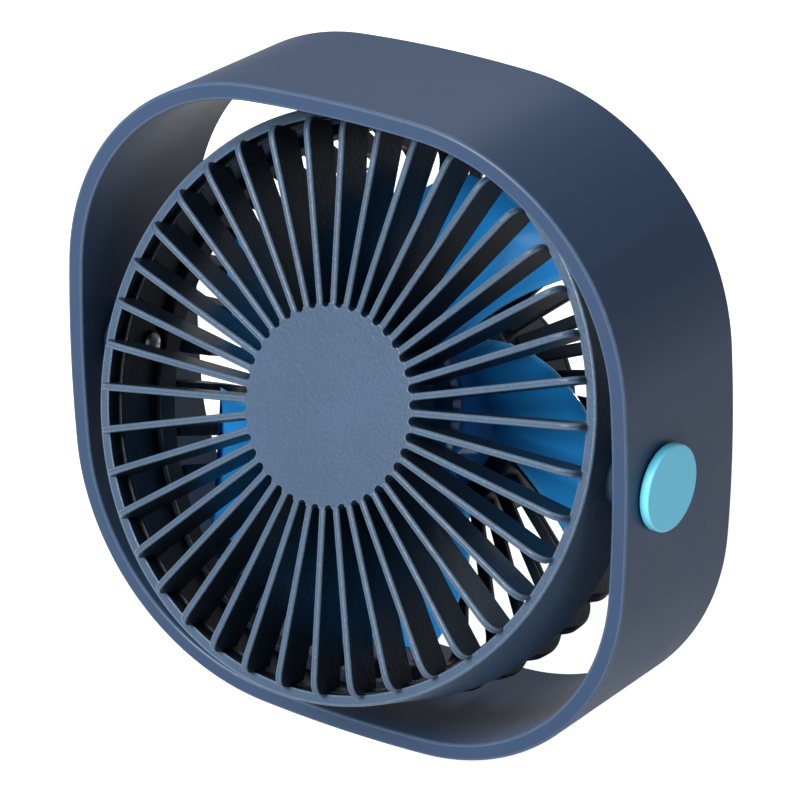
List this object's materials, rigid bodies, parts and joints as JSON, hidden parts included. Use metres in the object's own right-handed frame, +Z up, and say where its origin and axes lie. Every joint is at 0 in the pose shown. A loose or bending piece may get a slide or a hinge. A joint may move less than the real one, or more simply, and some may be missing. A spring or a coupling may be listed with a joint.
{
  "type": "desk fan",
  "caption": "Small desk fan: a round grilled head that tilts inside a standing rounded-square ring frame, with light-blue pivot knobs and a bladed rotor.",
  "frame": {"origin": "on the table, under the middle of the object's box at rest", "axes": "+X to the right of a person facing the front grille, +Y to the back (the air leaves towards -Y), +Z up"},
  "size_m": [0.1446, 0.0794, 0.1395],
  "materials": {
    "frame_plastic": "fine satin texture, deep navy",
    "shell_plastic": "fine satin texture, slate blue",
    "rear_plastic": "satin, very dark navy",
    "foot_rubber": "matt, nearly black",
    "accent_plastic": "satin light blue",
    "bush_plastic": "dark navy, slightly waxy",
    "screw_steel": "plain zinc plated",
    "socket_steel": "bright plated shell",
    "switch_plastic": "black",
    "board": "green solder resist",
    "rotor_plastic": "glossy medium blue",
    "yoke_steel": "pressed and laminated steel",
    "magnet": "dark bonded ferrite",
    "coil_wire": "enamelled copper wire",
    "lead_red": "red insulation",
    "lead_black": "black insulation"
  },
  "bodies": {
    "frame": {"frame_ring": "frame_plastic", "foot_front_right": "foot_rubber", "foot_front_left": "foot_rubber", "foot_rear_right": "foot_rubber", "foot_rear_left": "foot_rubber", "pivot_bush_right": "bush_plastic", "pivot_bush_left": "bush_plastic"},
    "head": {"shroud": "shell_plastic", "front_grille": "shell_plastic", "rear_grille": "rear_plastic", "rear_cover": "rear_plastic", "cover_screw_1": "screw_steel", "cover_screw_2": "screw_steel", "cover_screw_3": "screw_steel", "pivot_knob_right": "accent_plastic", "pivot_knob_left": "accent_plastic", "friction_washer_right": "foot_rubber", "friction_washer_left": "foot_rubber", "pivot_screw_right": "screw_steel", "pivot_screw_left": "screw_steel", "button_spring": "screw_steel", "switch_body": "switch_plastic", "control_board": "board", "usb_socket": "socket_steel", "usb_tongue": "switch_plastic", "bearing_front": "screw_steel", "bearing_rear": "screw_steel", "stator_core": "yoke_steel", "stator_coil_1": "coil_wire", "stator_coil_2": "coil_wire", "stator_coil_3": "coil_wire", "stator_coil_4": "coil_wire", "motor_board": "board", "lead_red": "lead_red", "lead_black": "lead_black"},
    "rotor": {"rotor": "rotor_plastic", "rotor_yoke": "yoke_steel", "magnet_ring": "magnet", "motor_shaft": "screw_steel", "shaft_clip": "screw_steel"},
    "button": {"push_button": "accent_plastic"}
  },
  "joints": [
    {"name": "head_tilt", "type": "hinge", "parent": "frame", "child": "head", "pos_m": [0, -0.00575, 0.07017], "axis": [1, 0, 0], "continuous": true},
    {"name": "rotor_spin", "type": "hinge", "parent": "head", "child": "rotor", "pos_m": [0, -0.00575, 0.07017], "axis": [0, -0.9455, 0.3256], "continuous": true},
    {"name": "button_press", "type": "slide", "parent": "head", "child": "button", "axis": [0, -0.9455, 0.3256], "range_m": [0, 0.0006], "stiffness_N_per_m": 400, "springref_m": -0.001, "deforming": ["button_spring"]}
  ]
}
